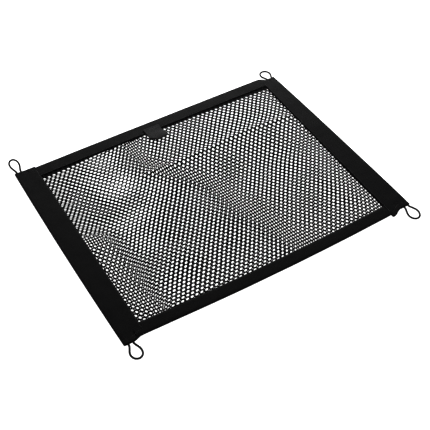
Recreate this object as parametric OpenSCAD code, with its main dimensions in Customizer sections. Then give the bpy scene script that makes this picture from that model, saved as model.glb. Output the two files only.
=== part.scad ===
// Flat two-layer mesh cargo net: two knitted panels joined on three sides by
// folded cloth bands, open along the mouth, with an elastic cord loop at each
// corner and a cloth pull tab on the upper mouth band.
// X runs along the long bands, Y from the bottom band to the mouth, Z up.
// The origin is on the floor under the middle of the net.

/* [Net] */
// Outer length, over both side bands
net_length = 560; // [300:10:900]
// Outer width, from end to end of a side band
net_width = 410; // [240:10:700]

/* [Bands] */
// Width of each side band
side_band_width = 38; // [34:1:60]
// Width of each mouth band
mouth_band_width = 24; // [16:1:40]
// Width of the bottom band
bottom_band_width = 22; // [16:1:40]
// Set-back of the long bands from the ends of the side bands
long_band_inset = 3; // [1:0.5:10]
// Depth to which panels and long bands are sewn into the side bands
seam_depth = 15; // [6:1:15]

/* [Cloth] */
// Thickness of the band cloth
cloth = 0.5; // [0.3:0.05:0.9]
// Thickness of one knitted panel
mesh_thickness = 0.8; // [0.5:0.1:1.6]

/* [Elastic loops] */
// Diameter of the elastic cord
cord_diameter = 3.5; // [2.5:0.1:4.2]
// Length of each cord end that is sewn into the hem
cord_end_length = 18; // [10:1:30]
// Gap between a swinging part and what it swings past
swing_gap = 0.35; // [0.3:0.05:1]

/* [Pull tab] */
// Width of the pull tab
tab_width = 33; // [20:1:60]
// Length of the tab past its seam
tab_length = 21; // [12:1:40]
// Length of the part of the tab that is sewn down
tab_root_length = 9; // [6:1:14]
// Distance of the tab's middle from the middle of the net
tab_offset = -14; // [-60:1:60]

/* [Stitching] */
// Width of a row of stitches
stitch_width = 0.7; // [0.4:0.1:1.2]
// Height of a row of stitches above the cloth
stitch_height = 0.25; // [0.15:0.05:0.5]
// Distance of a row of stitches from the edge of its band
stitch_margin = 1.5; // [1:0.5:3]
// Distance of the end hem's stitches from the end of a side band
hem_depth = 8; // [5:0.5:12]

/* [Hidden] */
$fn = 48;

// Heights, counted from the middle of the thickness
mesh_stack = 2 * mesh_thickness + 2 * cloth;
side_thickness = max(mesh_stack + 4 * cloth, cord_diameter + 2 * cloth);
mid_z = side_thickness / 2;
long_band_thickness = mesh_thickness + 2 * cloth;
upper_mesh_z = mid_z + cloth;
lower_mesh_z = mid_z - cloth - mesh_thickness;

// Plan
half_length = net_length / 2;
half_width = net_width / 2;
window_x = half_length - side_band_width;
panel_x = window_x + seam_depth;
mouth_edge_y = half_width - long_band_inset;
bottom_edge_y = -half_width + long_band_inset;
fold_wall = cloth + 1;
cut = 1;

// Pull tab: the free flap is folded double, and one thickness is sewn down
tab_thickness = 2 * cloth;
tab_hinge_y = mouth_edge_y - mouth_band_width;
tab_hinge_z = upper_mesh_z + mesh_thickness + cloth + swing_gap + tab_thickness / 2;

// Elastic loops. Each point is [inwards from the net's outer edge, out from the
// hinge line, up from the middle of the band].
cord_radius = cord_diameter / 2;
loop_hinge_y = half_width + cord_radius + swing_gap;
cord_sides = 8;
back_left_route = [
    [5, 0, 0], [4.5, 3, 0.5], [3, 7, 1.5], [1, 12, 3], [0, 17, 4], [0.5, 22, 5.5], [3, 26, 6.5],
    [7, 28, 7], [11, 27, 7], [14.5, 23.5, 6], [16, 18.5, 5], [16, 13.5, 3.5], [14.5, 8, 2],
    [13, 3.5, 0.5], [12.5, 0, 0]];
back_right_route = [
    [4, 0, 0], [3, 3, 0], [1, 6.5, 0], [-0.5, 11, 0], [-0.5, 16, 0], [1.5, 20.5, 0], [5.5, 23.5, 0],
    [10.5, 24.5, 0], [15.5, 23, 0], [19, 19.5, 0], [20.5, 14.5, 0], [20, 9.5, 0],
    [18, 5.5, 0], [16.5, 2.5, 0], [16, 0, 0]];
front_left_route = [
    [7, 0, 0], [6, 3.5, 0], [4, 7.5, 0], [2, 11.5, 0], [1, 16, 0], [2, 21, 0], [5, 25, 0],
    [10, 27, 0], [15, 25.5, 0], [18.5, 21.5, 0], [19.5, 16, 0], [19, 11.5, 0],
    [17.5, 7.5, 0], [16, 3.5, 0], [15, 0, 0]];
front_right_route = [
    [4, 0, 0], [2.5, 3.5, 0], [0.5, 7.5, 0], [-1.5, 12.5, 0], [-2, 17.5, 0], [-0.5, 22.5, 0],
    [3, 27, 0], [8.5, 29.5, 0], [14, 28.5, 0], [18, 24.5, 0], [19.5, 19, 0],
    [18.5, 13, 0], [16, 7.5, 0], [14, 3.5, 0], [13, 0, 0]];

// Places a route's points at a corner: side is 1 on the right and -1 on the
// left, end is 1 at the mouth and -1 at the bottom band.
function at_corner(route, side, end) =
    [for (p = route) [side * (half_length - p.x), end * (loop_hinge_y + p.y), mid_z + p.z]];

function unit(v) = v / norm(v);

// Direction of a route at its point i; both ends leave the hem straight.
function heading(points, i, end) =
    i == 0 ? [0, end, 0] :
    i == len(points) - 1 ? [0, -end, 0] :
    unit(points[i + 1] - points[i - 1]);

function ring(centre, direction, radius) =
    let (across = unit(cross([0, 0, 1], direction)))
    let (up = cross(direction, across))
    [for (k = [0:cord_sides - 1])
        centre + radius * (cos(360 * k / cord_sides) * across + sin(360 * k / cord_sides) * up)];

module cord(points, end) {
    rings = [for (i = [0:len(points) - 1]) each ring(points[i], heading(points, i, end), cord_radius)];
    last = (len(points) - 1) * cord_sides;
    walls = [for (i = [0:len(points) - 2]) for (k = [0:cord_sides - 1])
        let (n = (k + 1) % cord_sides)
        [i * cord_sides + k, (i + 1) * cord_sides + k, (i + 1) * cord_sides + n, i * cord_sides + n]];
    caps = [[for (k = [0:cord_sides - 1]) k], [for (k = [cord_sides - 1:-1:0]) last + k]];
    polyhedron(points = rings, faces = concat(walls, caps), convexity = 4);
}

// The sewn-in ends of one loop: two straight stubs inside the hem, which may
// stand out of it by a given length.
module cord_ends(route, side, end, outside = 0) {
    for (leg = [route[0], route[len(route) - 1]])
        translate([side * (half_length - leg.x), end * (half_width + outside), mid_z])
            rotate([90 * end, 0, 0])
                cylinder(r = cord_radius, h = cord_end_length + outside);
}

// The flat tunnel in the hem that both ends of one loop fill.
module cord_tunnel(route, side, end) {
    first = route[0].x;
    last = route[len(route) - 1].x;
    middle_y = half_width + (cut - cord_end_length) / 2;
    cord_ends(route, side, end, cut);
    translate([side * (half_length - (first + last) / 2), end * middle_y, mid_z])
        cube([last - first, cord_end_length + cut, cord_diameter], center = true);
}

// Cross-section of a strip folded over an edge: the fold is at x = 0 and the
// open side, with a slot for what it holds, at x = width.
module folded_section(width, thickness, slot_depth, slot_height) {
    difference() {
        union() {
            translate([thickness / 2, 0]) circle(d = thickness);
            translate([thickness / 2, -thickness / 2]) square([width - thickness / 2, thickness]);
        }
        translate([width - slot_depth, -slot_height / 2]) square([slot_depth + cut, slot_height]);
    }
}

// A folded strip along X, with its fold at y = edge_y; facing is 1 when the
// strip's open side points towards -Y.
module long_band(edge_y, facing, width, thickness, slot_height, middle_z) {
    translate([-panel_x, edge_y, middle_z])
        rotate([90, 0, 90])
            linear_extrude(2 * panel_x)
                mirror([facing == 1 ? 1 : 0, 0])
                    folded_section(width, thickness, width - fold_wall, slot_height);
}

// A side band: the folded strip, with wider slots where the long bands enter
// and tunnels for the ends of the two loops.
module side_band(side, back_route, front_route) {
    end_slot = side_thickness - 2 * cloth;
    difference() {
        translate([side * half_length, half_width, mid_z])
            rotate([90, 0, 0])
                linear_extrude(net_width)
                    mirror([side == 1 ? 1 : 0, 0])
                        folded_section(side_band_width, side_thickness, seam_depth, mesh_stack);
        translate([side * (window_x + seam_depth / 2 - cut / 2), mouth_edge_y - mouth_band_width / 2, mid_z])
            cube([seam_depth + cut, mouth_band_width, end_slot], center = true);
        translate([side * (window_x + seam_depth / 2 - cut / 2), bottom_edge_y + bottom_band_width / 2, mid_z])
            cube([seam_depth + cut, bottom_band_width, end_slot], center = true);
        cord_tunnel(back_route, side, 1);
        cord_tunnel(front_route, side, -1);
    }
}

// A straight row of stitches, lying on a face at height z.
module stitch_row(from, to, z) {
    size = [abs(to.x - from.x) + stitch_width, abs(to.y - from.y) + stitch_width, stitch_height];
    middle = (from + to) / 2;
    translate([middle.x, middle.y, z + stitch_height / 2]) cube(size, center = true);
}

module panel(z) {
    bottom_y = bottom_edge_y + fold_wall;
    translate([-panel_x, bottom_y, z])
        cube([2 * panel_x, mouth_edge_y - fold_wall - bottom_y, mesh_thickness]);
}

module upper_mesh() {
    color([0.1, 0.1, 0.1]) panel(upper_mesh_z);
}

module lower_mesh() {
    color([0.1, 0.1, 0.1]) panel(lower_mesh_z);
}

module upper_mouth_band() {
    color([0.06, 0.06, 0.06])
        long_band(mouth_edge_y, 1, mouth_band_width, long_band_thickness, mesh_thickness,
            upper_mesh_z + mesh_thickness / 2);
}

module lower_mouth_band() {
    color([0.06, 0.06, 0.06])
        long_band(mouth_edge_y, 1, mouth_band_width, long_band_thickness, mesh_thickness,
            lower_mesh_z + mesh_thickness / 2);
}

module bottom_band() {
    color([0.06, 0.06, 0.06])
        long_band(bottom_edge_y, -1, bottom_band_width, mesh_stack + 2 * cloth, mesh_stack, mid_z);
}

module left_side_band() {
    color([0.05, 0.05, 0.05]) side_band(-1, back_left_route, front_left_route);
}

module right_side_band() {
    color([0.05, 0.05, 0.05]) side_band(1, back_right_route, front_right_route);
}

module pull_tab() {
    color([0.08, 0.08, 0.08])
        translate([tab_offset - tab_width / 2, tab_hinge_y, tab_hinge_z]) {
            rotate([0, 90, 0]) cylinder(d = tab_thickness, h = tab_width);
            translate([0, -tab_length, -tab_thickness / 2]) cube([tab_width, tab_length, tab_thickness]);
        }
}

module pull_tab_root() {
    near = tab_hinge_y + tab_thickness / 2 + swing_gap;
    color([0.08, 0.08, 0.08])
        translate([tab_offset - tab_width / 2, near, upper_mesh_z + mesh_thickness + cloth])
            cube([tab_width, tab_root_length, cloth]);
}

module back_left_loop() {
    color([0.07, 0.07, 0.07]) cord(at_corner(back_left_route, -1, 1), 1);
}

module back_right_loop() {
    color([0.07, 0.07, 0.07]) cord(at_corner(back_right_route, 1, 1), 1);
}

module front_left_loop() {
    color([0.07, 0.07, 0.07]) cord(at_corner(front_left_route, -1, -1), -1);
}

module front_right_loop() {
    color([0.07, 0.07, 0.07]) cord(at_corner(front_right_route, 1, -1), -1);
}

module back_left_cord_ends() {
    color([0.07, 0.07, 0.07]) cord_ends(back_left_route, -1, 1);
}

module back_right_cord_ends() {
    color([0.07, 0.07, 0.07]) cord_ends(back_right_route, 1, 1);
}

module front_left_cord_ends() {
    color([0.07, 0.07, 0.07]) cord_ends(front_left_route, -1, -1);
}

module front_right_cord_ends() {
    color([0.07, 0.07, 0.07]) cord_ends(front_right_route, 1, -1);
}

module side_stitching(side) {
    x = side * (window_x + stitch_margin);
    y = half_width - hem_depth - 2 * stitch_width;
    color([0.12, 0.12, 0.12]) stitch_row([x, -y], [x, y], side_thickness);
}

module left_side_stitching() {
    side_stitching(-1);
}

module right_side_stitching() {
    side_stitching(1);
}

module upper_mouth_stitching() {
    x = window_x - stitch_width;
    y = mouth_edge_y - mouth_band_width + stitch_margin;
    z = upper_mesh_z + mesh_thickness + cloth;
    root = tab_width / 2 + stitch_width;
    color([0.12, 0.12, 0.12]) {
        stitch_row([-x, y], [tab_offset - root, y], z);
        stitch_row([tab_offset + root, y], [x, y], z);
    }
}

module lower_mouth_stitching() {
    x = window_x - stitch_width;
    y = mouth_edge_y - mouth_band_width + stitch_margin;
    color([0.12, 0.12, 0.12])
        stitch_row([-x, y], [x, y], lower_mesh_z - cloth - stitch_height);
}

module bottom_stitching() {
    x = window_x - stitch_width;
    y = bottom_edge_y + bottom_band_width - stitch_margin;
    color([0.12, 0.12, 0.12]) stitch_row([-x, y], [x, y], mid_z + mesh_stack / 2 + cloth);
}

module end_hem_stitching() {
    y = half_width - hem_depth;
    color([0.12, 0.12, 0.12])
        for (side = [1, -1], end = [1, -1])
            stitch_row([side * (window_x + stitch_margin), end * y],
                [side * (half_length - side_thickness / 2 - stitch_width), end * y], side_thickness);
}

module tab_stitching() {
    x = tab_width / 2 - stitch_margin;
    near = tab_hinge_y + tab_thickness / 2 + swing_gap + stitch_margin;
    far = near + tab_root_length - 2 * stitch_margin;
    z = upper_mesh_z + mesh_thickness + 2 * cloth;
    color([0.12, 0.12, 0.12]) {
        stitch_row([tab_offset - x, near], [tab_offset + x, near], z);
        stitch_row([tab_offset - x, far], [tab_offset + x, far], z);
    }
}

upper_mesh();
lower_mesh();
upper_mouth_band();
lower_mouth_band();
bottom_band();
left_side_band();
right_side_band();
pull_tab();
pull_tab_root();
back_left_loop();
back_right_loop();
front_left_loop();
front_right_loop();
back_left_cord_ends();
back_right_cord_ends();
front_left_cord_ends();
front_right_cord_ends();
left_side_stitching();
right_side_stitching();
upper_mouth_stitching();
lower_mouth_stitching();
bottom_stitching();
end_hem_stitching();
tab_stitching();
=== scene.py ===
# %% [markdown]
# # A flat mesh cargo net
# The net is a pocket: two knitted panels lie on each other, and folded cloth bands bind them.
# The side bands and the bottom band hold both panels, and each panel has a mouth band of its own,
# so the mouth opens. An elastic cord loop comes out of each corner, and a small cloth tab
# pulls the mouth open.
#
# The sizes come from the CAD frame, which is loaded first. Everything is in metres.

# %% Load the frame
import math

import bmesh
import bpy
from mathutils import Matrix, Vector, noise


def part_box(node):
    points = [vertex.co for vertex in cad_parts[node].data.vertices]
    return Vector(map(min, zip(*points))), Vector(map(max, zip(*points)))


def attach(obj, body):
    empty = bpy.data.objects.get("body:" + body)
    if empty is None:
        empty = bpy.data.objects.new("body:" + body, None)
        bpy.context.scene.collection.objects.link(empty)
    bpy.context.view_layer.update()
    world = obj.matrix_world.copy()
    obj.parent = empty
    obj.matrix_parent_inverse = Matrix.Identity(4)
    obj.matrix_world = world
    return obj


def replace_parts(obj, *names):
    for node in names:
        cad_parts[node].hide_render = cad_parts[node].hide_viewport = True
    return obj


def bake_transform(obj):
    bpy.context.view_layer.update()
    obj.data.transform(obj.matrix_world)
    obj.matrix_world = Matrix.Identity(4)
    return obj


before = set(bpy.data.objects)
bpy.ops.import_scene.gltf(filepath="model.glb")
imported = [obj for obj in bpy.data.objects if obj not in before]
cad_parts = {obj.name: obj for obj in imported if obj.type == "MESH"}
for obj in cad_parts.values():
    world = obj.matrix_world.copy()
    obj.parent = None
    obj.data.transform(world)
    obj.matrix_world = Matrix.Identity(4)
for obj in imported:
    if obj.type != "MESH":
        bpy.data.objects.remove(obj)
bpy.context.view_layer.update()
mm = 0.001

# %% [markdown]
# ## Places that the frame gives
# A box of a node gives its lowest and highest corners. The net is laid out with X along the long
# bands, Y from the bottom band to the mouth and Z up, so a few numbers place everything.

# %% Places
half_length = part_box("right_side_band")[1].x
half_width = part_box("right_side_band")[1].y
window_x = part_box("right_side_band")[0].x
band_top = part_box("right_side_band")[1].z
middle_z = band_top / 2
mouth_inner_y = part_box("upper_mouth_band")[0].y
mouth_outer_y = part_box("upper_mouth_band")[1].y
bottom_outer_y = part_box("bottom_band")[0].y
bottom_inner_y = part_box("bottom_band")[1].y
upper_z = sum(corner.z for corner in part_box("upper_mesh")) / 2
lower_z = sum(corner.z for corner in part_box("lower_mesh")) / 2
mesh_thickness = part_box("upper_mesh")[1].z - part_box("upper_mesh")[0].z
cloth = 0.5 * mm
print("window", round(2 * window_x, 4), "by", round(mouth_inner_y - bottom_inner_y, 4))

# %% [markdown]
# ## The camera
# The camera looks down at the net from its front left, at about 48 degrees, and leans a little.
# A track quaternion turns the camera towards a point, and a last turn about its own line of
# sight gives the lean.

# %% Camera
camera_place = Vector((-0.5183, -0.7593, 0.9508))
camera_aim = Vector((-0.0268, -0.0542, 0.0023))
camera_lean = math.radians(3.3)
camera_data = bpy.data.cameras.new("camera")
camera_data.sensor_width = 36
camera_data.lens = 63.1
camera = bpy.data.objects.new("camera", camera_data)
bpy.context.scene.collection.objects.link(camera)
sight = (camera_aim - camera_place).to_track_quat("-Z", "Y").to_matrix().to_4x4()
camera.matrix_world = Matrix.Translation(camera_place) @ sight @ Matrix.Rotation(camera_lean, 4, "Z")
bpy.context.scene.camera = camera
print("camera distance", round((camera_aim - camera_place).length, 3))

# %% [markdown]
# ## Helpers for new pieces
# Each piece is made in a bmesh and then given to an object at the origin. Smooth shading suits
# cloth and cord, because all their edges are round.

# %% Piece helpers
def piece_from(bm, name, material):
    mesh = bpy.data.meshes.new(name)
    bm.to_mesh(mesh)
    bm.free()
    mesh.materials.append(material)
    mesh.polygons.foreach_set("use_smooth", [True] * len(mesh.polygons))
    piece = bpy.data.objects.new(name, mesh)
    bpy.context.scene.collection.objects.link(piece)
    print(name, len(mesh.vertices), "vertices")
    return piece


def thicken(piece, thickness):
    wall = piece.modifiers.new("thickness", "SOLIDIFY")
    wall.thickness = thickness
    wall.offset = 0
    return piece


def eased(share):
    """0 to 1, with soft ends."""
    share = max(0.0, min(1.0, share))
    return share * share * (3 - 2 * share)


print("a quarter of the way, eased:", eased(0.25))

# %% [markdown]
# ## Nodes for the finishes
# All finishes are black, so they differ by their surface: the cloth has a plain weave, the panels
# are knitted yarn, the cord has a braided cover and the thread is twisted. Small helpers keep
# the node trees short. Patterns read Object coordinates, because every piece sits at the origin.

# %% Node helpers
def new_material(name, colour, roughness):
    material = bpy.data.materials.new(name)
    material.use_nodes = True
    shader = material.node_tree.nodes["Principled BSDF"]
    shader.inputs["Base Color"].default_value = (*colour, 1)
    shader.inputs["Roughness"].default_value = roughness
    return material, material.node_tree, shader


def add_node(tree, kind, **settings):
    node = tree.nodes.new(kind)
    for name, value in settings.items():
        setattr(node, name, value)
    return node


def feed(tree, node, values):
    """Sets a node's inputs: a socket is linked and a number is set."""
    for name, value in values.items():
        if isinstance(value, bpy.types.NodeSocket):
            tree.links.new(value, node.inputs[name])
        else:
            node.inputs[name].default_value = value
    return node


def math_node(tree, operation, first, second=0.0):
    node = add_node(tree, "ShaderNodeMath", operation=operation)
    return feed(tree, node, {0: first, 1: second}).outputs[0]


def tone(tree, shader, fac, dark, light):
    """Lets the colour wander between two tones."""
    mix = add_node(tree, "ShaderNodeMix", data_type="RGBA")
    feed(tree, mix, {"Factor": fac, "A": (*dark, 1), "B": (*light, 1)})
    tree.links.new(mix.outputs["Result"], shader.inputs["Base Color"])


def bump(tree, shader, height, distance, strength):
    """Lets light see the height, without moving the surface."""
    node = add_node(tree, "ShaderNodeBump")
    feed(tree, node, {"Height": height, "Distance": distance, "Strength": strength})
    tree.links.new(node.outputs["Normal"], shader.inputs["Normal"])


def map_range(tree, value, low, high):
    """Turns 0 to 1 into low to high."""
    node = add_node(tree, "ShaderNodeMapRange")
    feed(tree, node, {"Value": value, "To Min": low, "To Max": high})
    return node.outputs["Result"]


print("a texture scale of", 1 / mm, "makes bumps about a millimetre across")

# %% [markdown]
# ## Band cloth
# The bands are plain-woven polyester. In a plain weave each yarn goes over one and under one, so
# a checker decides which of two rounded yarn profiles lies on top. A sine for each direction
# gives the round profiles, and a slow noise varies the tone as dye and handling do. The colour
# also follows the yarn profiles: painted shade, darker in the dips between yarns, lighter on top.

# %% Band cloth finish
def woven_cloth(name, dark, light, yarn, roughness):
    material, tree, shader = new_material(name, dark, roughness)
    place = add_node(tree, "ShaderNodeTexCoord").outputs["Object"]
    axes = feed(tree, add_node(tree, "ShaderNodeSeparateXYZ"), {"Vector": place})
    rows = []
    for axis in ("X", "Y"):
        turn = math_node(tree, "MULTIPLY", axes.outputs[axis], math.pi / yarn)
        rows.append(math_node(tree, "ABSOLUTE", math_node(tree, "SINE", turn)))
    squares = add_node(tree, "ShaderNodeTexChecker")
    feed(tree, squares, {"Vector": place, "Scale": 1 / yarn,
                         "Color1": (0, 0, 0, 1), "Color2": (1, 1, 1, 1)})
    over = add_node(tree, "ShaderNodeMix")
    feed(tree, over, {"Factor": squares.outputs["Fac"], "A": rows[0], "B": rows[1]})
    grain = add_node(tree, "ShaderNodeTexNoise")
    feed(tree, grain, {"Vector": place, "Scale": 900.0, "Detail": 3.0})
    fine_grain = math_node(tree, "MULTIPLY", grain.outputs["Fac"], 0.5)
    height = math_node(tree, "ADD", over.outputs["Result"], fine_grain)
    bump(tree, shader, height, distance=0.12 * mm, strength=0.7)
    cloud = add_node(tree, "ShaderNodeTexNoise")
    feed(tree, cloud, {"Vector": place, "Scale": 26.0, "Detail": 4.0})
    # painted shade: the tone follows the yarn profile, darker in the dips between yarns and lighter
    # on their crowns, times the slow dye noise
    shade = math_node(tree, "MULTIPLY", over.outputs["Result"], cloud.outputs["Fac"])
    tone(tree, shader, shade, dark, light)
    worn = map_range(tree, cloud.outputs["Fac"], low=roughness - 0.08, high=roughness + 0.12)
    tree.links.new(worn, shader.inputs["Roughness"])
    shader.inputs["Specular IOR Level"].default_value = 0.07
    shader.inputs["Sheen Weight"].default_value = 0.01
    shader.inputs["Sheen Roughness"].default_value = 0.5
    return material


band_yarn = 0.55 * mm
tab_yarn = 0.45 * mm
band_cloth = woven_cloth("band_cloth", dark=(0.0032, 0.0032, 0.0033), light=(0.0085, 0.0085, 0.0088),
                         yarn=band_yarn, roughness=0.66)
tab_cloth = woven_cloth("tab_cloth", dark=(0.006, 0.006, 0.0062), light=(0.015, 0.015, 0.0155),
                        yarn=tab_yarn, roughness=0.55)
print("cloth yarns", band_yarn / mm, "and", tab_yarn / mm, "mm apart")

# %% [markdown]
# ## Knitted yarn, braided cord and thread
# The panel's yarn is a bundle of fine filaments, so its surface is a fine noise with small
# stitch bumps, and it is rough. The elastic cord's cover is braided from two sets of yarns that
# cross at an angle; the cord's own UV map runs along it and around it, so two slanted waves make
# the braid, and its colour is painted darker in the braid's dips and lighter on its crowns, as
# painted shade. The thread is smoother and catches a little more light.

# %% Knit, cord and thread finishes
def knitted_yarn():
    material, tree, shader = new_material("knitted_yarn", (0.004, 0.004, 0.0042), 0.7)
    place = add_node(tree, "ShaderNodeTexCoord").outputs["Object"]
    fibres = add_node(tree, "ShaderNodeTexNoise")
    feed(tree, fibres, {"Vector": place, "Scale": 1500.0, "Detail": 3.0, "Roughness": 0.6})
    stitches = add_node(tree, "ShaderNodeTexVoronoi")
    feed(tree, stitches, {"Vector": place, "Scale": 1100.0})
    height = math_node(tree, "ADD", fibres.outputs["Fac"], stitches.outputs["Distance"])
    bump(tree, shader, height, distance=0.15 * mm, strength=0.8)
    tone(tree, shader, fibres.outputs["Fac"],
         dark=(0.0025, 0.0025, 0.0026), light=(0.0085, 0.0085, 0.0088))
    fuzz = map_range(tree, stitches.outputs["Distance"], low=0.6, high=0.85)
    tree.links.new(fuzz, shader.inputs["Roughness"])
    shader.inputs["Specular IOR Level"].default_value = 0.06
    return material


def braided_cover():
    material, tree, shader = new_material("braided_cover", (0.006, 0.006, 0.0063), 0.6)
    along = add_node(tree, "ShaderNodeUVMap", uv_map="along_cord").outputs["UV"]
    axes = feed(tree, add_node(tree, "ShaderNodeSeparateXYZ"), {"Vector": along})
    yarns_around = 8
    braid_pitch = 0.7 * mm
    lengthwise = math_node(tree, "MULTIPLY", axes.outputs["X"], math.pi / braid_pitch)
    around = math_node(tree, "MULTIPLY", axes.outputs["Y"], math.pi * yarns_around)
    one = math_node(tree, "SINE", math_node(tree, "ADD", lengthwise, around))
    other = math_node(tree, "SINE", math_node(tree, "SUBTRACT", lengthwise, around))
    braid = math_node(tree, "ABSOLUTE", math_node(tree, "MULTIPLY", one, other))
    bump(tree, shader, braid, distance=0.2 * mm, strength=0.9)
    # painted shade: the cover is darker in the braid's dips and lighter on its crowns
    tone(tree, shader, braid, dark=(0.0025, 0.0025, 0.0026), light=(0.02, 0.02, 0.0206))
    shader.inputs["Specular IOR Level"].default_value = 0.1
    return material


def sewing_thread():
    material, tree, shader = new_material("sewing_thread", (0.012, 0.012, 0.0125), 0.45)
    place = add_node(tree, "ShaderNodeTexCoord").outputs["Object"]
    twist = add_node(tree, "ShaderNodeTexWave", bands_direction="DIAGONAL")
    feed(tree, twist, {"Vector": place, "Scale": 900.0, "Distortion": 1.0})
    bump(tree, shader, twist.outputs["Fac"], distance=0.05 * mm, strength=0.8)
    # the thread is lighter than the cloth; on top of that its twist's grooves are painted darker and
    # its ridges lighter, as painted shade
    tone(tree, shader, twist.outputs["Fac"], dark=(0.03, 0.03, 0.031), light=(0.07, 0.07, 0.072))
    shader.inputs["Specular IOR Level"].default_value = 0.15
    return material


yarn_finish = knitted_yarn()
cord_finish = braided_cover()
thread_finish = sewing_thread()
print("finishes:", ", ".join(sorted(material.name for material in bpy.data.materials)))

# %% [markdown]
# ## The elastic loops
# Each loop is one elastic cord that leaves the side band's hem, turns round and goes back in.
# The routes are the same listed points as in the CAD model: millimetres inwards from the
# net's outer edge, out from the loop's hinge line, and up from the middle of the band.

# %% Loop routes
cord_diameter = 3.5 * mm
loop_routes = {
    "back_left_loop": (-1, 1, [
        (5, 0, 0), (4.5, 3, 0.5), (3, 7, 1.5), (1, 12, 3), (0, 17, 4), (0.5, 22, 5.5), (3, 26, 6.5),
        (7, 28, 7), (11, 27, 7), (14.5, 23.5, 6), (16, 18.5, 5), (16, 13.5, 3.5), (14.5, 8, 2),
        (13, 3.5, 0.5), (12.5, 0, 0)]),
    "back_right_loop": (1, 1, [
        (4, 0, 0), (3, 3, 0), (1, 6.5, 0), (-0.5, 11, 0), (-0.5, 16, 0), (1.5, 20.5, 0),
        (5.5, 23.5, 0), (10.5, 24.5, 0), (15.5, 23, 0), (19, 19.5, 0), (20.5, 14.5, 0),
        (20, 9.5, 0), (18, 5.5, 0), (16.5, 2.5, 0), (16, 0, 0)]),
    "front_left_loop": (-1, -1, [
        (7, 0, 0), (6, 3.5, 0), (4, 7.5, 0), (2, 11.5, 0), (1, 16, 0), (2, 21, 0), (5, 25, 0),
        (10, 27, 0), (15, 25.5, 0), (18.5, 21.5, 0), (19.5, 16, 0), (19, 11.5, 0),
        (17.5, 7.5, 0), (16, 3.5, 0), (15, 0, 0)]),
    "front_right_loop": (1, -1, [
        (4, 0, 0), (2.5, 3.5, 0), (0.5, 7.5, 0), (-1.5, 12.5, 0), (-2, 17.5, 0), (-0.5, 22.5, 0),
        (3, 27, 0), (8.5, 29.5, 0), (14, 28.5, 0), (18, 24.5, 0), (19.5, 19, 0),
        (18.5, 13, 0), (16, 7.5, 0), (14, 3.5, 0), (13, 0, 0)]),
}
for name in loop_routes:
    print(name, "sticks out by", max(out for _, out, _ in loop_routes[name][2]), "mm")

# %% [markdown]
# The route of a whole cord also has its two sewn ends, which run straight into the hem. A smooth
# curve through all the points keeps every bend wide, as elastic cord bends.

# %% Smooth path
hinge_gap = 2.1 * mm
cord_end_length = 18 * mm


def route_of(name):
    """The cord's middle line: from inside the hem, out, round and back into it."""
    side, end, points = loop_routes[name]
    hinge_y = half_width + hinge_gap
    route = [Vector((side * (half_length - u * mm), end * (hinge_y + v * mm), middle_z + w * mm))
             for u, v, w in points]
    for leg, place in ((route[0], 0), (route[-1], len(route) + 2)):
        ends = [Vector((leg.x, end * (half_width - cord_end_length), middle_z)),
                Vector((leg.x, end * half_width, middle_z))]
        route[place:place] = ends if place == 0 else reversed(ends)
    return route


def smooth_path(points, spacing):
    """A Catmull-Rom curve through the points, with rings about spacing apart."""
    before = points[0] * 2 - points[1]
    after = points[-1] * 2 - points[-2]
    line = [before, *points, after]
    path = []
    for a, b, c, d in zip(line, line[1:], line[2:], line[3:]):
        steps = max(1, round((c - b).length / spacing))
        for i in range(steps):
            t = i / steps
            path.append(0.5 * (2 * b + (c - a) * t + (2 * a - 5 * b + 4 * c - d) * t ** 2
                               + (3 * b - a - 3 * c + d) * t ** 3))
    path.append(points[-1].copy())
    return path


def length_of(path):
    return sum((b - a).length for a, b in zip(path, path[1:]))


print("a cord has", len(route_of("back_left_loop")), "route points")

# %% [markdown]
# A tube can be made by placing one circle at the start and extruding its edges from ring to
# ring. Each new ring is turned to face along the path. The UV map is written as the tube grows:
# its first number is the distance along the cord and its second goes once around it.

# %% Tube helper
def tube(name, path, radius, sides, material):
    bm = bmesh.new()
    along_cord = bm.loops.layers.uv.new("along_cord")
    ring = bmesh.ops.create_circle(bm, cap_ends=False, segments=sides, radius=radius)["verts"]
    rings = [ring]
    edges = bm.edges[:]
    for _ in path[1:]:
        grown = bmesh.ops.extrude_edge_only(bm, edges=edges)["geom"]
        edges = [g for g in grown if isinstance(g, bmesh.types.BMEdge)
                 and all(len(v.link_faces) < 3 for v in g.verts)]
        new = [g for g in grown if isinstance(g, bmesh.types.BMVert)]
        rings.append(sorted(new, key=lambda v: math.atan2(v.co.y, v.co.x)))
    rings[0] = sorted(ring, key=lambda v: math.atan2(v.co.y, v.co.x))
    walked = 0.0
    where = {}
    for i, (centre, verts) in enumerate(zip(path, rings)):
        ahead = path[min(i + 1, len(path) - 1)] - path[max(i - 1, 0)]
        across = Vector((0, 0, 1)).cross(ahead).normalized()
        up = ahead.normalized().cross(across)
        if i:
            walked += (centre - path[i - 1]).length
        for k, vert in enumerate(verts):
            angle = 2 * math.pi * k / sides
            vert.co = centre + radius * (math.cos(angle) * across + math.sin(angle) * up)
            where[vert] = (walked, k / sides)
    for face in bm.faces:
        seam = {where[loop.vert][1] for loop in face.loops} == {0.0, (sides - 1) / sides}
        for loop in face.loops:
            distance, turn = where[loop.vert]
            loop[along_cord].uv = (distance, 1.0 if seam and turn == 0.0 else turn)
    for verts in (rings[0], rings[-1]):
        bmesh.ops.contextual_create(bm, geom=verts)
    bmesh.ops.recalc_face_normals(bm, faces=bm.faces)
    return piece_from(bm, name, material)


ring_spacing = 1.2 * mm
cord_sides = 16
print("a ring of", cord_sides, "points every", ring_spacing / mm, "mm")

# %% [markdown]
# A loop's first few millimetres stay with the net and the rest swings. The tube takes the place of
# the CAD loop and its cord ends.

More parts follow.
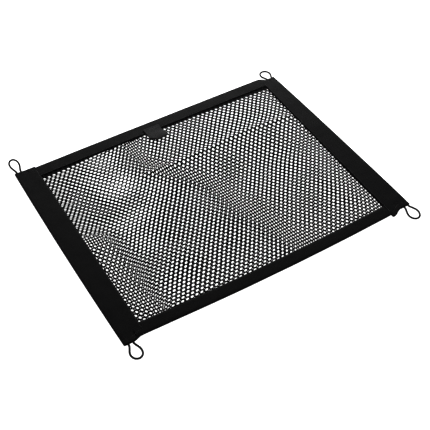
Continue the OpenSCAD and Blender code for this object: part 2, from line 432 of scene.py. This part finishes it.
# %% Loops
for name, (_, end, _) in loop_routes.items():
    path = smooth_path(route_of(name), ring_spacing)
    loop = tube(name + "_cord", path, cord_diameter / 2, cord_sides, cord_finish)
    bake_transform(loop)
    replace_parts(loop, name, name.replace("loop", "cord_ends"))
    length_of(path)
    print(name, "cord length", round(length_of(path) / mm, 1), "mm")

# %% [markdown]
# ## How the net lies
# Cloth never lies as flat as it was cut. Every soft piece is first made in its sewn place and
# then laid: each of its points is moved by the same soft pulls and sags, so that the pieces
# stay together. The mouth is tugged outwards, more on the upper panel than on the lower one, the
# bottom edge bows outwards, and the right band is skewed a little.

# %% Pulls in the plane of the net
# each edge: an even pull, a pull that grows to the right, and more midway, in millimetres
upper_mouth_pulls = (5.5, 5.5, 1.0)
lower_mouth_pulls = (-0.5, 3.5, 5.5)
bottom_pulls = (-3.0, -3.0, -5.0)
left_bulge = 2.0 * mm
right_bulge = 1.5 * mm
right_lean = 7 * mm
left_slant = 4.5 * mm
right_slant = -8 * mm


def edge_pull(x, pulls):
    even, to_the_right, midway = pulls
    across = max(-1.0, min(1.0, x / window_x))
    return (even + to_the_right * across + midway * (1 - across * across)) * mm


def long_band_pull(x, y, layer):
    towards_mouth = max(0.0, min(1.0, (y - bottom_inner_y) / (mouth_inner_y - bottom_inner_y)))
    mouth = edge_pull(x, lower_mouth_pulls if layer == "lower" else upper_mouth_pulls)
    pull = mouth * towards_mouth + edge_pull(x, bottom_pulls) * (1 - towards_mouth)
    under_side_band = eased((abs(x) - window_x + 4 * mm) / (24 * mm))
    return pull * (1 - under_side_band)


def side_band_shift(x, y):
    """Both outer edges bulge, and the right band leans."""
    bow = 1 - (y / half_width) ** 2
    if x <= 0:
        return -left_bulge * bow * eased((-x - window_x) / (half_length - window_x))
    outer = max(0.0, min(1.0, (x - window_x) / (half_length - window_x)))
    inwards = math.exp(-max(0.0, window_x - x) / (60 * mm))
    lean = right_lean * y / half_width * (1 - outer) * inwards
    return lean + right_bulge * bow * outer


def slanted_end(x, y):
    """The near ends slant: the right one outwards, the left one back."""
    near = eased((-y - 0.55 * half_width) / (0.45 * half_width))
    inwards = eased((half_length - abs(x) - 17 * mm) / (18 * mm))
    return (right_slant if x > 0 else left_slant) * inwards * near


print("the mouth is pulled", round(edge_pull(0, upper_mouth_pulls) / mm, 1), "mm at its middle")

# %% [markdown]
# The heights come next. Bands lie almost flat with slow ripples. The panels hang a few
# millimetres inside their bands, so they sag onto the ground and keep a few soft waves, and the
# upper panel is looser than the lower one.

# %% Ripples and sag
ripple_height = 1.0 * mm
wave_height = 1.2 * mm
loose_height = 2.5 * mm
ripple_size = 55 * mm
wave_size = 70 * mm
loose_size = 60 * mm
sag_reach = 45 * mm
resting_z = {"upper": 1.35 * mm, "lower": 0.45 * mm, "both": 0.5 * mm}


def soft_noise(x, y, size, seed):
    """-1 to 1, with bumps about size across."""
    return noise.noise(Vector((x / size, y / size, seed)))


def window_depth(x, y):
    """Distance inside the window, 0 at its edge."""
    return max(0.0, min(window_x - abs(x), mouth_inner_y - y, y - bottom_inner_y))


def height_change(x, y, z, layer):
    ripple = (0.5 + 0.5 * soft_noise(x, y, ripple_size, 3.1)) * ripple_height
    if layer == "side":
        return ripple
    inside = eased(window_depth(x, y) / sag_reach)
    sag = (z - resting_z[layer]) * inside
    wave = inside * (1 + soft_noise(x, y, wave_size, 8.4)) * wave_height
    if layer == "upper":
        wave += inside * max(0.0, soft_noise(x, y, loose_size, 1.7)) * loose_height
    return ripple - sag + wave


def laid(point, layer):
    """Where a point of the sewn net lies; the panels have a function of their own, further on."""
    x, y, z = point
    if layer in panel_share:
        return laid_panel(x, y, z, layer)
    pull = slanted_end(x, y) if layer == "side" else long_band_pull(x, y, layer)
    return Vector((x + side_band_shift(x, y), y + pull, z + height_change(x, y, z, layer)))


print("the window's middle is", round(window_depth(0, 0) / mm), "mm from its nearest edge")

# %% [markdown]
# The two panels never lie exactly mesh over mesh. On the right the upper one has slipped about
# two millimetres; across a long bunched line down the middle the slip grows by half a mesh, and
# it grows again towards the left band. Where the slip is about half a mesh the openings close up
# to a fine pattern, and elsewhere they line up into stripes. Each panel takes half of the slip.

# %% Slip between the panels
panel_share = {"upper_panel": 0.5, "lower_panel": -0.5}
# (y, x) in millimetres
bunched_line = [(-200, 62), (-110, 50), (-50, 20), (15, 14),
                (45, -12), (75, -50), (110, -76), (220, -66)]
# (along, across) in millimetres
slip_on_the_right = Vector((2.0, -0.8))
slip_past_the_bunch = Vector((4.96, 1.7))
slip_lower_left = Vector((0.1, 4.3))
slip_upper_left = Vector((4.4, 0.0))


def place_on(line, y):
    """The line's x at this y, both in millimetres."""
    for (y0, x0), (y1, x1) in zip(line, line[1:]):
        if y <= y1:
            break
    share = max(0.0, min(1.0, (y - y0) / (y1 - y0)))
    return x0 + (x1 - x0) * share


def slip_at(x, y):
    """How far the upper panel has slipped over the lower one."""
    x, y = x / mm, y / mm
    upper_half = eased((y + 25) / 80)
    bunch_reach = 46 + 0.2 * max(0.0, 30 - y)
    past_bunch = eased((place_on(bunched_line, y) + bunch_reach - x) / (2 * bunch_reach))
    lower_left = eased((-162 - x) / 60) * (1 - upper_half)
    upper_left = eased((-80 - x - 0.2 * (y - 150)) / 130) * upper_half
    slip = slip_on_the_right + past_bunch * slip_past_the_bunch
    return (slip + lower_left * slip_lower_left + upper_left * slip_upper_left) * mm


print("slip at the middle", round(slip_at(0, 0).length / mm, 1), "mm")

# %% [markdown]
# Both panels are also stretched and slack in places. The knitted meshes are drawn open towards
# the right and along a strip above the middle, and pushed together on the left.

# %% Stretch of the panels
drift = 1.6
drift_size = 60
held_reach = 18 * mm


def stretch_at(x, y):
    """Both panels are pushed along and across by this much."""
    x, y = x / mm, y / mm
    top = eased((y + 20) / 140)
    opened_right = 16 * eased((x - 40) / 200) * top + 9 * eased((x - 110) / 120) * (1 - top)
    along = opened_right - 4 - 6 * (1 - top) * eased((x + 240) / 120)
    opened_above = 11 * eased((y - 8) / 72) * eased((x + 130) / 150)
    across = opened_above - 9 * eased((-x - 50) / 170) * (0.45 + 0.55 * top)
    drift_x = drift * soft_noise(x, y, drift_size, 30.5)
    drift_y = drift * soft_noise(x, y, drift_size, 41.5)
    return Vector((along + drift_x, across + drift_y)) * mm


def free_share(x, y):
    """1 inside the window, falling to 0 where the bands hold the panels' edges."""
    outside = max(0.0, abs(x) - window_x, y - mouth_inner_y, bottom_inner_y - y)
    return 1 - eased(outside / held_reach)


corner_push = stretch_at(window_x, mouth_inner_y)
print("the right upper corner is pushed", round(corner_push.x / mm, 1), "mm along")

# %% [markdown]
# A wrinkle crosses the panels, where slack cloth stands up in a low ridge. Seen at a slant, the
# far side of the ridge is foreshortened, so the wrinkle shows as a dark line.

# %% Wrinkle
# (x, y) in millimetres
wrinkle_line = [(-75, 86), (-20, 76), (60, 79), (140, 84), (225, 76)]
ridge_height = 3.4 * mm
ridge_half_width = 6
ridge_fade = 25 * mm


def away_from(line, x, y):
    """Distance from the line, in millimetres."""
    nearest = math.inf
    for start, end in zip(line, line[1:]):
        start, along = Vector(start), Vector(end) - Vector(start)
        share = (Vector((x, y)) - start).dot(along) / along.length_squared
        share = max(0.0, min(1.0, share))
        nearest = min(nearest, (Vector((x, y)) - start - share * along).length)
    return nearest


def wrinkle_height(x, y):
    away = away_from(wrinkle_line, x / mm, y / mm)
    height = ridge_height * math.exp(-(away / ridge_half_width) ** 2)
    return height * eased(window_depth(x, y) / ridge_fade)


def laid_panel(x, y, z, layer):
    band_layer = "upper" if layer == "upper_panel" else "lower"
    pull = (long_band_pull(x, y, "upper") + long_band_pull(x, y, "lower")) / 2
    moved = (slip_at(x, y) * panel_share[layer] + stretch_at(x, y)) * free_share(x, y)
    return Vector((x + side_band_shift(x, y) + moved.x, y + pull + moved.y,
                   z + height_change(x, y, z, band_layer) + wrinkle_height(x, y)))


print("the wrinkle is", wrinkle_line[-1][0] - wrinkle_line[0][0], "mm long")

# %% [markdown]
# ## Folded bands
# A band is one strip of cloth, folded along its length over the edges that it binds. Its
# cross-section is drawn as an open line: from the turned-in edge of the lower wall, round the
# fold, to the turned-in edge of the upper wall. Each point is (distance from the fold, side,
# depth), where side runs from -1 below to 1 above, and depth says how far inside the wall a
# turned-in layer lies. Extruding the line along the band makes the strip, and Solidify gives
# the cloth its thickness, so the slot between the walls stays open for the panels.

# %% Cross-section of a fold
turned_cloth = 1.15 * cloth
turn_in = 7 * mm
seam_place = 1.5 * mm


def fold_line(width, fold_radius):
    edge = [(width - turn_in, turned_cloth), (width - 4 * mm, turned_cloth),
            (width - 1 * mm, turned_cloth), (width - 0.3 * mm, 0.9 * turned_cloth),
            (width, 0.5 * turned_cloth), (width - 0.2 * mm, 0.1 * turned_cloth)]
    wall = [(width - step * mm, 0.0) for step in (0.6, 1.0, 1.4, 1.8, 2.4, 3.4, 5.0, 7.5)]
    while wall[-1][0] > fold_radius + 4 * mm:
        wall.append((wall[-1][0] - 3 * mm, 0.0))
    half = [(u, 1.0, depth) for u, depth in edge + wall]
    turn = [(fold_radius * (1 - math.cos(a)), math.sin(a), 0.0)
            for a in (math.radians(step) for step in (75, 50, 25))]
    below = [(u, -side, depth) for u, side, depth in half + turn]
    return below + [(0.0, 0.0, 0.0)] + list(reversed(half + turn))


def steps_between(low, high, step):
    count = max(1, round((high - low) / step))
    return [low + (high - low) * i / count for i in range(count + 1)]


def extruded_strip(line, stations, place):
    """The line at the first station, extruded to each of the others."""
    bm = bmesh.new()
    verts = [bm.verts.new(place(*spot, stations[0])) for spot in line]
    edges = [bm.edges.new(pair) for pair in zip(verts, verts[1:])]
    for station in stations[1:]:
        grown = bmesh.ops.extrude_edge_only(bm, edges=edges)["geom"]
        new_verts = [part for part in grown if isinstance(part, bmesh.types.BMVert)]
        edges = [part for part in grown if isinstance(part, bmesh.types.BMEdge)
                 and part.verts[0] in new_verts and part.verts[1] in new_verts]
        for vert, spot in zip(new_verts, line):
            vert.co = place(*spot, station)
    bmesh.ops.recalc_face_normals(bm, faces=bm.faces)
    return bm


print("a side band's cross-section has", len(fold_line(half_length - window_x, 2 * mm)), "points")

# %% [markdown]
# A sewn wall isn't even: the stitches press a groove along the seam, and the cloth puckers beside
# it, because thread pulls tighter than cloth. The same wall function serves every band.

# %% Groove and puckers
groove_depth = 0.28 * mm
pucker_height = 0.22 * mm
crease_height = 0.3 * mm


def seam_press(u, along, width, seed):
    from_seam = u - (width - seam_place)
    groove = groove_depth * math.exp(-(from_seam / (0.7 * mm)) ** 2)
    near_seam = math.exp(-abs(from_seam) / (5 * mm))
    pucker = pucker_height * soft_noise(along, 0, 5 * mm, seed) * near_seam
    crease = crease_height * soft_noise(along, u, 16 * mm, seed + 5)
    return pucker + crease - groove


print("the seam's groove is", round(groove_depth / mm, 2), "mm deep")

# %% [markdown]
# ## Side bands
# A side band binds both panels and the ends of the long bands. Its two ends are turned in and
# sewn flat, except where the legs of an elastic loop run between the walls: there the cloth
# rises over the cord. So the half height of the band is pinched near its ends, and a bump
# stands over each leg.

# %% Side bands
side_width = half_length - window_x
flat_half = band_top / 2 - cloth / 2
pinched_half = 1.35 * mm
leg_half = flat_half + 0.1 * mm
leg_bump_width = 3.2 * mm
hem_depth = 8 * mm
hem_groove = 0.25 * mm
thinnest_half = 0.3 * mm
fold_radius = 2.0 * mm


def side_band(name, side):
    which = "left" if side < 0 else "right"
    legs = {}
    for end, word in ((-1, "front"), (1, "back")):
        points = loop_routes[f"{word}_{which}_loop"][2]
        legs[end] = [points[0][0] * mm, points[-1][0] * mm]

    def half_height(u, y):
        end = 1 if y > 0 else -1
        from_end = half_width - abs(y)
        open_share = eased((from_end - 2 * mm) / (24 * mm))
        half = pinched_half + (flat_half - pinched_half) * open_share
        for leg in legs[end]:
            over = math.exp(-((u - leg) / leg_bump_width) ** 2)
            reach = 1 - eased((from_end - cord_end_length) / (6 * mm))
            half = max(half, pinched_half + (leg_half - pinched_half) * over * reach)
        hem = hem_groove * math.exp(-((from_end - hem_depth) / (0.8 * mm)) ** 2)
        return half - hem

    def place(u, above, depth, station):
        y, turned = station
        half = half_height(u, y)
        if above > 0:
            half += seam_press(u, y, side_width, 2 + side)
        rise = above * max(half - max(depth, turned), thinnest_half)
        return laid((side * (half_length - u), y, middle_z + rise), "side")

    last_y = half_width - 0.6 * mm
    middle = [(y, 0.0) for y in steps_between(-last_y, last_y, 2 * mm)]
    hem_in = [(half_width, 0.5 * turned_cloth), (half_width - 0.5 * mm, turned_cloth),
              (half_width - 3 * mm, turned_cloth), (half_width - hem_depth, turned_cloth)]
    stations = [(-y, turned) for y, turned in reversed(hem_in)] + middle + hem_in
    bm = extruded_strip(fold_line(side_width, fold_radius), stations, place)
    band = thicken(piece_from(bm, name, band_cloth), 0.9 * cloth)
    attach(band, "net")
    return band


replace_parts(side_band("left_side_binding", -1), "left_side_band")
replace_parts(side_band("right_side_binding", 1), "right_side_band")

# %% [markdown]
# ## Long bands
# The mouth bands each bind one panel and the bottom band binds both. They run under the side
# bands at both ends, so their cut ends don't show and stay raw.

# %% Long bands
def long_band(name, node, layer, fold_y, inner_y, seed):
    low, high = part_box(node)
    width = abs(inner_y - fold_y)
    outwards = 1 if fold_y > inner_y else -1
    middle = (low.z + high.z) / 2
    half = (high.z - low.z) / 2 - cloth / 2

    def place(u, above, depth, x):
        wall = half + (seam_press(u, x, width, seed) if above > 0 else 0.0)
        rise = above * max(wall - depth, 0.05 * mm)
        return laid((x, fold_y - outwards * u, middle + rise), layer)

    stations = steps_between(low.x, high.x, 2.2 * mm)
    bm = extruded_strip(fold_line(width, half), stations, place)
    band = thicken(piece_from(bm, name, band_cloth), 0.9 * cloth)
    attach(band, "net")
    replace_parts(band, node)


long_band("upper_mouth_binding", "upper_mouth_band", "upper", mouth_outer_y, mouth_inner_y, seed=11)
long_band("lower_mouth_binding", "lower_mouth_band", "lower", mouth_outer_y, mouth_inner_y, seed=17)
long_band("bottom_binding", "bottom_band", "both", bottom_outer_y, bottom_inner_y, seed=23)

# %% [markdown]
# ## Knitted panels
# Raschel knitting makes a net of six-sided meshes: the yarns run side by side for a while and
# then part. One cell can be a hexagon; rows of copies, each shifted by half a cell, tile the
# panel. Welding the copies gives one net of shared edges.

# %% Panel of hexagons
mesh_pitch = 9.12 * mm
row_step = 5.95 * mm
cell_radius = mesh_pitch / math.sqrt(3)
squeeze = row_step / (1.5 * cell_radius)
hole_across = 3.45 * mm
hole_along = 2.7 * mm
inset = 0.6 * mm


def tiled_cells(bm, columns, rows):
    bmesh.ops.create_circle(bm, cap_ends=True, segments=6, radius=cell_radius)
    first = bm.verts[:] + bm.edges[:] + bm.faces[:]
    for column in range(1, columns):
        copy = bmesh.ops.duplicate(bm, geom=first)["geom"]
        verts = [part for part in copy if isinstance(part, bmesh.types.BMVert)]
        bmesh.ops.translate(bm, verts=verts, vec=(column * mesh_pitch, 0, 0))
    row = bm.verts[:] + bm.edges[:] + bm.faces[:]
    for number in range(1, rows):
        copy = bmesh.ops.duplicate(bm, geom=row)["geom"]
        verts = [part for part in copy if isinstance(part, bmesh.types.BMVert)]
        half_cell = mesh_pitch / 2 * (number % 2)
        bmesh.ops.translate(bm, verts=verts, vec=(half_cell, number * 1.5 * cell_radius, 0))
    bmesh.ops.remove_doubles(bm, verts=bm.verts, dist=0.3 * mm)
    bmesh.ops.scale(bm, verts=bm.verts, vec=(1, squeeze, 1))
    middle = Vector(((columns - 0.5) * mesh_pitch / 2, (rows - 1) * row_step / 2, 0))
    bmesh.ops.translate(bm, verts=bm.verts, vec=-middle)


print("meshes are", mesh_pitch / mm, "mm apart in rows", row_step / mm, "mm apart")

# %% [markdown]
# Insetting each cell leaves the strands, and its inner face, once rounded and deleted, is the
# hole. The shared edges are lifted before that, so that a strand has a ridge. A copy of the
# whole panel, mirrored downwards and welded on, closes the strands.

# %% Knitted panels
def knitted_panel(name, node):
    low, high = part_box(node)
    columns = int((high.x - low.x) / mesh_pitch)
    rows = int((high.y - low.y) / row_step)
    bm = bmesh.new()
    tiled_cells(bm, columns, rows)
    bmesh.ops.subdivide_edges(bm, edges=bm.edges, cuts=1)
    bmesh.ops.translate(bm, verts=bm.verts, vec=(0, 0, mesh_thickness / 2))
    cells = bm.faces[:]
    bmesh.ops.inset_individual(bm, faces=cells, thickness=inset, use_even_offset=True)
    for cell in cells:
        centre = cell.calc_center_median()
        for vert in cell.verts:
            out = vert.co - centre
            turn = math.atan2(out.y, out.x)
            rim = Vector((hole_across * math.cos(turn), hole_along * math.sin(turn)))
            vert.co = Vector((centre.x + rim.x, centre.y + rim.y, 0))
    bmesh.ops.delete(bm, geom=cells, context="FACES_ONLY")
    copy = bmesh.ops.duplicate(bm, geom=bm.verts[:] + bm.edges[:] + bm.faces[:])["geom"]
    lower_half = [part for part in copy if isinstance(part, bmesh.types.BMVert)]
    bmesh.ops.scale(bm, verts=lower_half, vec=(1, 1, -1))
    bmesh.ops.remove_doubles(bm, verts=bm.verts, dist=0.01 * mm)
    border = [edge for edge in bm.edges if edge.is_boundary]
    bmesh.ops.bridge_loops(bm, edges=border)
    bmesh.ops.recalc_face_normals(bm, faces=bm.faces)
    sheet_z = (low.z + high.z) / 2
    for vert in bm.verts:
        x, y, z = vert.co
        vert.co = laid((x, y, sheet_z + z), name)
    panel = piece_from(bm, name, yarn_finish)
    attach(panel, "net")
    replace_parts(panel, node)


knitted_panel("upper_panel", "upper_mesh")
knitted_panel("lower_panel", "lower_mesh")

# %% [markdown]
# ## Stitches
# A machine-sewn seam is a row of short, slightly sunken stitches. One stitch can be a small
# stretched sphere with few faces, because there are hundreds of them. Each copy is placed on the
# flat seam and then laid with the cloth under it.

# %% Rows of stitches
stitch_pitch = 3 * mm
stitch_length = 2.3 * mm
thread_width = 0.55 * mm
thread_height = 0.44 * mm


def add_stitches(bm, start, end, layer):
    start, end = Vector(start), Vector(end)
    count = max(2, round((end - start).length / stitch_pitch))
    step = (end - start) / count
    heading = math.atan2(step.y, step.x)
    size = Matrix.Diagonal((stitch_length / 2, thread_width / 2, thread_height / 2, 1))
    shape = Matrix.Rotation(heading, 4, "Z") @ size
    for number in range(count):
        place = start + step * (number + 0.5)
        made = bmesh.ops.create_uvsphere(bm, u_segments=6, v_segments=4, radius=1.0)["verts"]
        moved = laid(place, layer)
        ahead = laid(place + step.normalized() * mm, layer)
        lean = (ahead - moved).normalized().rotation_difference(step.normalized()).inverted()
        matrix = Matrix.Translation(moved) @ lean.to_matrix().to_4x4() @ shape
        bmesh.ops.transform(bm, matrix=matrix, verts=made)


def stitching(name, node, rows):
    """One piece for all the rows that one CAD node stands for."""
    bm = bmesh.new()
    for start, end, layer in rows:
        add_stitches(bm, start, end, layer)
    piece = piece_from(bm, name, thread_finish)
    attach(piece, "net")
    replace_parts(piece, node)


print("stitches are", stitch_length / mm, "mm long and", stitch_pitch / mm, "mm apart")

# %% [markdown]
# The side bands' seams go through the top and the bottom wall, so both show. The hems are sewn
# from above, and the lower mouth band's seam shows from below.

# %% Seams
seam_top = band_top - 0.15 * mm
seam_bottom = 0.25 * mm
reach = half_width - hem_depth - 2 * mm
for word, side in (("left", -1), ("right", 1)):
    seam_x = side * (window_x + seam_place)
    stitching(f"{word}_side_seam", f"{word}_side_stitching", [
        ((seam_x, -reach, seam_top), (seam_x, reach, seam_top), "side"),
        ((seam_x, -reach, seam_bottom), (seam_x, reach, seam_bottom), "side")])

hem_rows = []
hem_z = middle_z + pinched_half + 0.3 * mm
for side in (-1, 1):
    for end in (-1, 1):
        hem_y = end * (half_width - hem_depth)
        inner, outer = side * (window_x + 3 * mm), side * (half_length - 2 * mm)
        hem_rows.append(((inner, hem_y, hem_z), (outer, hem_y, hem_z), "side"))
stitching("end_hem_seams", "end_hem_stitching", hem_rows)

seam_reach = window_x + 2 * mm


def long_seam(name, node, band, layer, seam_y, seen_from_above):
    low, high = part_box(band)
    height = high.z - 0.2 * mm if seen_from_above else low.z + 0.05 * mm
    row = ((-seam_reach, seam_y, height), (seam_reach, seam_y, height), layer)
    stitching(name, node, [row])


mouth_seam_y = mouth_inner_y + seam_place
long_seam("upper_mouth_seam", "upper_mouth_stitching", "upper_mouth_band", "upper",
          mouth_seam_y, seen_from_above=True)
long_seam("lower_mouth_seam", "lower_mouth_stitching", "lower_mouth_band", "lower",
          mouth_seam_y, seen_from_above=False)
long_seam("bottom_seam", "bottom_stitching", "bottom_band", "both",
          bottom_inner_y - seam_place, seen_from_above=True)
print("rows of stitches across the ends", len(hem_rows))

# %% [markdown]
# ## Pull tab
# The tab is a short strip of lighter cloth, folded at its free end, with both ends of the strip
# sewn onto the upper mouth band. It lifts about the band's edge. Handling has curled its free
# edge and raised its right corner.

# %% Pull tab
tab_low, tab_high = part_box("pull_tab")
root_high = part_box("pull_tab_root")[1]
hinge_y = tab_high.y
tab_z = (tab_low.z + tab_high.z) / 2
tab_centre_x = (tab_low.x + tab_high.x) / 2
tab_half = (tab_high.x - tab_low.x) / 2
tab_end_y = tab_low.y
tab_root_y = root_high.y + 5 * mm
tab_cloth_thickness = 0.4 * mm
tab_half_thickness = 0.5 * mm
tab_curl = 1.0
raised_corner = 3.0
tab_crown = 1.2 * mm
slanted_corner = 9 * mm
tab_spread = 2.5 * mm
tab_reach = 2 * mm


def tab_place(u, above, depth, station):
    x, turned = station
    across = (x - tab_centre_x) / tab_half
    y = tab_end_y + u
    free = max(0.0, min(1.0, (hinge_y - y) / (hinge_y - tab_end_y)))
    point = laid((x, hinge_y + 1 * mm, tab_z), "upper")
    rise = above * max(tab_half_thickness - max(depth, turned), 0.12 * mm)
    corner = raised_corner * free * eased((across + 0.1) / 1.1)
    curl = (tab_curl * free ** 2 + corner) * mm
    crown = tab_crown * math.sin(math.pi * free) * (1 - across ** 2)
    corner_cut = slanted_corner * eased((-across - 0.2) / 0.8) * free
    spread = tab_spread * free * max(0.0, across)
    return Vector((x + spread, y + corner_cut - tab_reach * free, point.z + rise + curl + crown))


tab_length = tab_root_y - tab_end_y
tab_line = fold_line(tab_length, 0.45 * mm)
tab_edge = [(tab_half, 0.2 * mm), (tab_half - 0.6 * mm, 0.32 * mm), (tab_half - 5 * mm, 0.32 * mm)]
tab_last = tab_half - 0.4 * mm
tab_stations = [(tab_centre_x - half, turned) for half, turned in reversed(tab_edge)]
tab_stations += [(tab_centre_x + x, 0.0) for x in steps_between(-tab_last, tab_last, 1.5 * mm)]
tab_stations += [(tab_centre_x + half, turned) for half, turned in tab_edge]
tab_strip = extruded_strip(tab_line, tab_stations, tab_place)
tab = thicken(piece_from(tab_strip, "tab_cloth_flap", tab_cloth), tab_cloth_thickness)
print("the tab is", round(2 * tab_half / mm), "by", round(tab_length / mm), "mm")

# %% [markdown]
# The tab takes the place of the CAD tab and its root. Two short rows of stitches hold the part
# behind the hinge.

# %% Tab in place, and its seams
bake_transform(tab)
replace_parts(tab, "pull_tab", "pull_tab_root")

tab_seam_z = tab_z + 0.6 * mm
seam_left = tab_centre_x - tab_half + 2 * mm
seam_right = tab_centre_x + tab_half - 2 * mm
tab_rows = []
for seam_y in (hinge_y + 3 * mm, hinge_y + 7.5 * mm):
    tab_rows.append(((seam_left, seam_y, tab_seam_z), (seam_right, seam_y, tab_seam_z), "upper"))
stitching("tab_seams", "tab_stitching", tab_rows)

# %% [markdown]
# ## Floor and light
# The floor is plain and pale and lit evenly, like a light table, with a soft white room around
# it. A soft lamp behind the net on the right gives the far bands a little sheen.

# %% Floor and light
floor_mesh = bmesh.new()
bmesh.ops.create_grid(floor_mesh, x_segments=1, y_segments=1, size=4)
floor_finish, _, floor_shader = new_material("floor_finish", (0.5, 0.5, 0.5), 0.9)
floor_shader.inputs["Emission Color"].default_value = (1, 1, 1, 1)
floor_shader.inputs["Emission Strength"].default_value = 0.72
floor = piece_from(floor_mesh, "floor", floor_finish)
world = bpy.data.worlds.new("studio")
world.use_nodes = True
world.node_tree.nodes["Background"].inputs["Color"].default_value = (1, 1, 1, 1)
world.node_tree.nodes["Background"].inputs["Strength"].default_value = 0.7
bpy.context.scene.world = world
bpy.context.scene.view_settings.view_transform = "Standard"
bpy.context.scene.view_settings.look = "High Contrast"

lamp_place = Vector((0.7, 1.2, 0.7))
lamp_aim = Vector((0.1, 0.05, 0))
lamp_data = bpy.data.lights.new("far_lamp", "AREA")
lamp_data.size = 0.6
lamp_data.energy = 20
lamp = bpy.data.objects.new("far_lamp", lamp_data)
bpy.context.scene.collection.objects.link(lamp)
lamp_turn = (lamp_aim - lamp_place).to_track_quat("-Z", "Y").to_matrix().to_4x4()
lamp.matrix_world = Matrix.Translation(lamp_place) @ lamp_turn
print("the lamp is", round((lamp_aim - lamp_place).length, 2), "m from the net")
